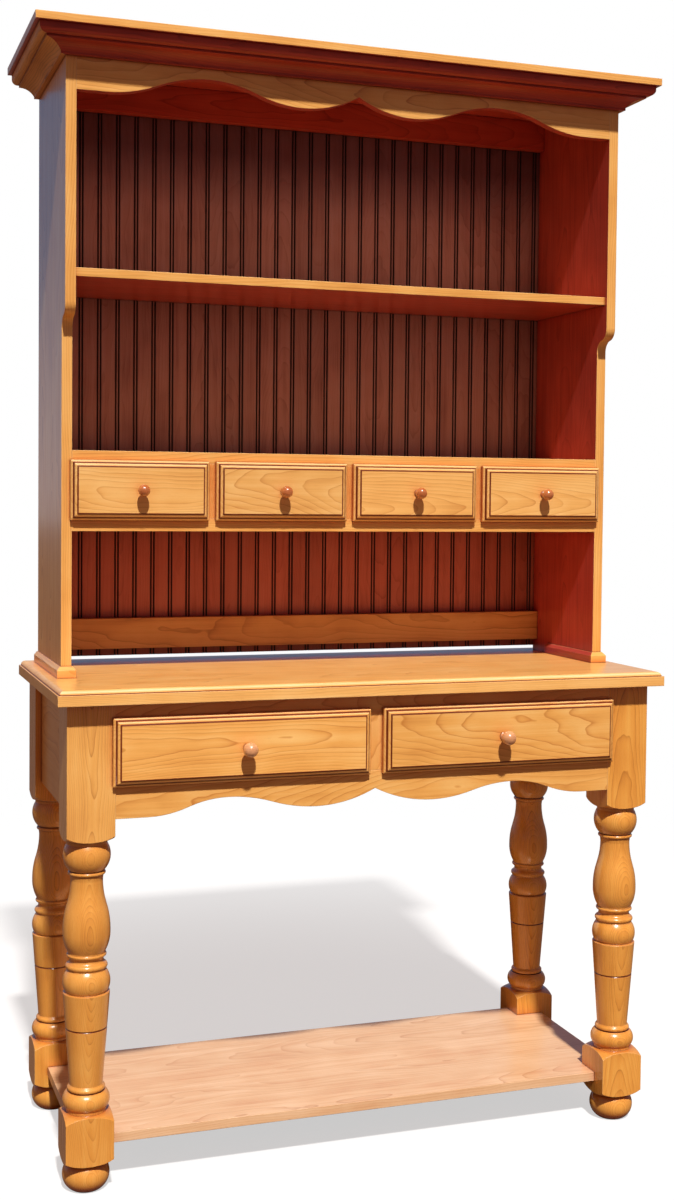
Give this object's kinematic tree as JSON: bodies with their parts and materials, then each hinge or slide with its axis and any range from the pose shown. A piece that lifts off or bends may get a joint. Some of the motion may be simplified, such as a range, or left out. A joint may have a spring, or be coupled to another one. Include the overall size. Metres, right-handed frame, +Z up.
{
  "type": "step back cupboard",
  "caption": "Open hutch with a crown, plate shelf, small lipped drawers and beaded back, standing on a table with turned legs, drawers, scalloped apron and low shelf.",
  "frame": {"origin": "on the floor, under the middle of the whole width and of the whole depth, knobs included", "axes": "+X to the right as seen from the front, +Y from the front to the back, +Z up"},
  "size_m": [1.276, 0.552, 2.138],
  "materials": {
    "back_wood": "satin clear finish",
    "drawer_box_wood": "bare planed wood",
    "drawer_front_wood": "satin clear finish",
    "hutch_wood": "satin clear finish",
    "inner_wood": "bare planed wood",
    "knob_wood": "satin clear finish",
    "leg_wood": "satin clear finish",
    "table_top_wood": "satin clear finish",
    "table_wood": "satin clear finish"
  },
  "bodies": {
    "cupboard": {"back_bottom_rail": "hutch_wood", "back_top_rail": "hutch_wood", "base_moulding_left": "hutch_wood", "base_moulding_right": "hutch_wood", "beadboard_back": "back_wood", "case_bottom": "hutch_wood", "case_dividers": "hutch_wood", "case_top": "hutch_wood", "centre_runner": "inner_wood", "crown_front": "hutch_wood", "crown_left": "hutch_wood", "crown_right": "hutch_wood", "drawer_stile": "table_wood", "front_apron": "table_wood", "front_top_rail": "table_wood", "hutch_side_left": "hutch_wood", "hutch_side_right": "hutch_wood", "hutch_top": "hutch_wood", "kickers": "inner_wood", "leg_front_left": "leg_wood", "leg_front_right": "leg_wood", "leg_rear_left": "leg_wood", "leg_rear_right": "leg_wood", "lower_shelf": "table_wood", "plate_shelf": "hutch_wood", "rear_apron": "table_wood", "side_apron_left": "table_wood", "side_apron_right": "table_wood", "side_runner_left": "inner_wood", "side_runner_right": "inner_wood", "table_top": "table_top_wood", "top_buttons": "inner_wood", "valance": "hutch_wood"},
    "large_drawer_left": {"large_drawer_left_back": "drawer_box_wood", "large_drawer_left_bottom": "drawer_box_wood", "large_drawer_left_front": "drawer_front_wood", "large_drawer_left_knob": "knob_wood", "large_drawer_left_sides": "drawer_box_wood"},
    "large_drawer_right": {"large_drawer_right_back": "drawer_box_wood", "large_drawer_right_bottom": "drawer_box_wood", "large_drawer_right_front": "drawer_front_wood", "large_drawer_right_knob": "knob_wood", "large_drawer_right_sides": "drawer_box_wood"},
    "small_drawer_1": {"small_drawer_1_bottom": "drawer_box_wood", "small_drawer_1_front": "drawer_front_wood", "small_drawer_1_knob": "knob_wood", "small_drawer_1_sides_and_back": "drawer_box_wood"},
    "small_drawer_2": {"small_drawer_2_bottom": "drawer_box_wood", "small_drawer_2_front": "drawer_front_wood", "small_drawer_2_knob": "knob_wood", "small_drawer_2_sides_and_back": "drawer_box_wood"},
    "small_drawer_3": {"small_drawer_3_bottom": "drawer_box_wood", "small_drawer_3_front": "drawer_front_wood", "small_drawer_3_knob": "knob_wood", "small_drawer_3_sides_and_back": "drawer_box_wood"},
    "small_drawer_4": {"small_drawer_4_bottom": "drawer_box_wood", "small_drawer_4_front": "drawer_front_wood", "small_drawer_4_knob": "knob_wood", "small_drawer_4_sides_and_back": "drawer_box_wood"}
  },
  "joints": [
    {"name": "large_drawer_left_slide", "type": "slide", "parent": "cupboard", "child": "large_drawer_left", "axis": [0, -1, 0], "range_m": [0, 0.3]},
    {"name": "large_drawer_right_slide", "type": "slide", "parent": "cupboard", "child": "large_drawer_right", "axis": [0, -1, 0], "range_m": [0, 0.3]},
    {"name": "small_drawer_1_slide", "type": "slide", "parent": "cupboard", "child": "small_drawer_1", "axis": [0, -1, 0], "range_m": [0, 0.2]},
    {"name": "small_drawer_2_slide", "type": "slide", "parent": "cupboard", "child": "small_drawer_2", "axis": [0, -1, 0], "range_m": [0, 0.2]},
    {"name": "small_drawer_3_slide", "type": "slide", "parent": "cupboard", "child": "small_drawer_3", "axis": [0, -1, 0], "range_m": [0, 0.2]},
    {"name": "small_drawer_4_slide", "type": "slide", "parent": "cupboard", "child": "small_drawer_4", "axis": [0, -1, 0], "range_m": [0, 0.2]}
  ]
}
